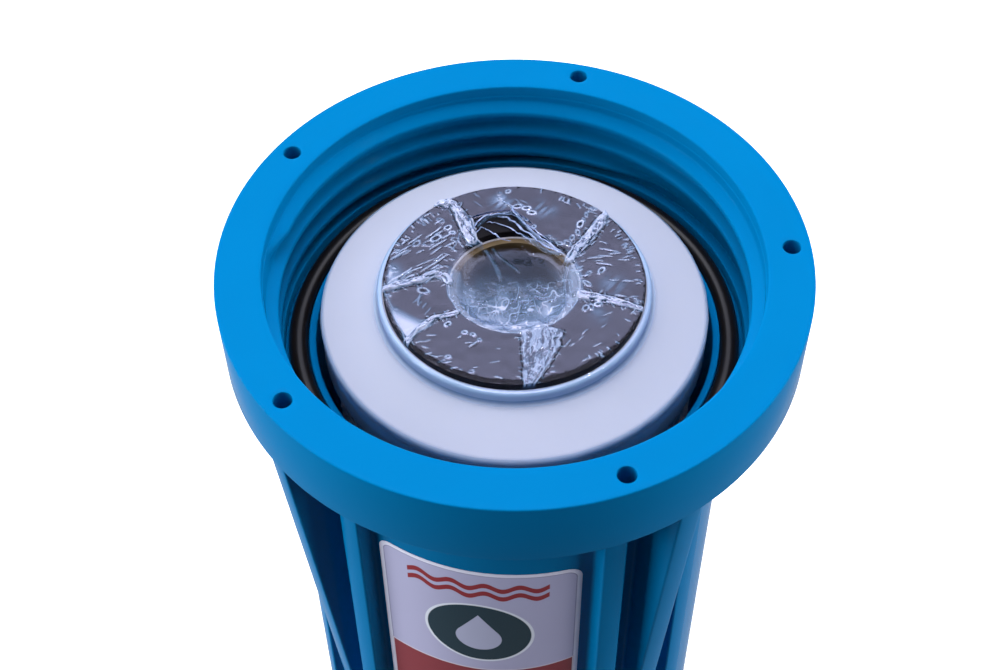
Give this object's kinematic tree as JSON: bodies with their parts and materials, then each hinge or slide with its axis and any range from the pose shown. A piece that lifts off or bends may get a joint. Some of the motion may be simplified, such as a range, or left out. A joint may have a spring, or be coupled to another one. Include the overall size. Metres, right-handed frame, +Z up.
{
  "type": "cartridge filter bowl",
  "caption": "Blue ribbed water filter bowl with a threaded socket collar, seal ring and label, holding a carbon block cartridge in shrink film that lifts out.",
  "frame": {"origin": "middle of the bowl's foot, on the surface it stands on", "axes": "+Z up along the bowl's axis, towards its mouth; the label faces -Y"},
  "size_m": [0.18, 0.18, 0.285],
  "materials": {
    "moulded_bowl": "satin moulded polypropylene, sky blue",
    "seal_rubber": "smooth black nitrile rubber",
    "printed_label": "printed vinyl, satin, white border",
    "end_cap": "satin moulded polyethylene, white",
    "gasket_rubber": "flat black rubber",
    "hot_melt": "amber hot-melt glue",
    "core_plastic": "natural polypropylene, buff",
    "fleece": "spunbonded white fleece",
    "carbon": "sintered black carbon",
    "netting": "extruded white netting",
    "clear_film": "clear shrink film, crinkled"
  },
  "bodies": {
    "bowl": {"bowl": "moulded_bowl", "bowl_o_ring": "seal_rubber", "front_label": "printed_label"},
    "cartridge": {"bottom_end_cap": "end_cap", "bottom_gasket": "gasket_rubber", "bottom_glue_ring": "hot_melt", "top_end_cap": "end_cap", "top_gasket": "gasket_rubber", "top_glue_ring": "hot_melt", "core_tube": "core_plastic", "inner_fleece": "fleece", "carbon_block": "carbon", "outer_fleece": "fleece", "outer_netting": "netting", "shrink_film": "clear_film"}
  },
  "joints": [
    {"name": "cartridge_lift", "type": "slide", "parent": "bowl", "child": "cartridge", "axis": [0, 0, 1], "range_m": [0, 0.275]}
  ]
}
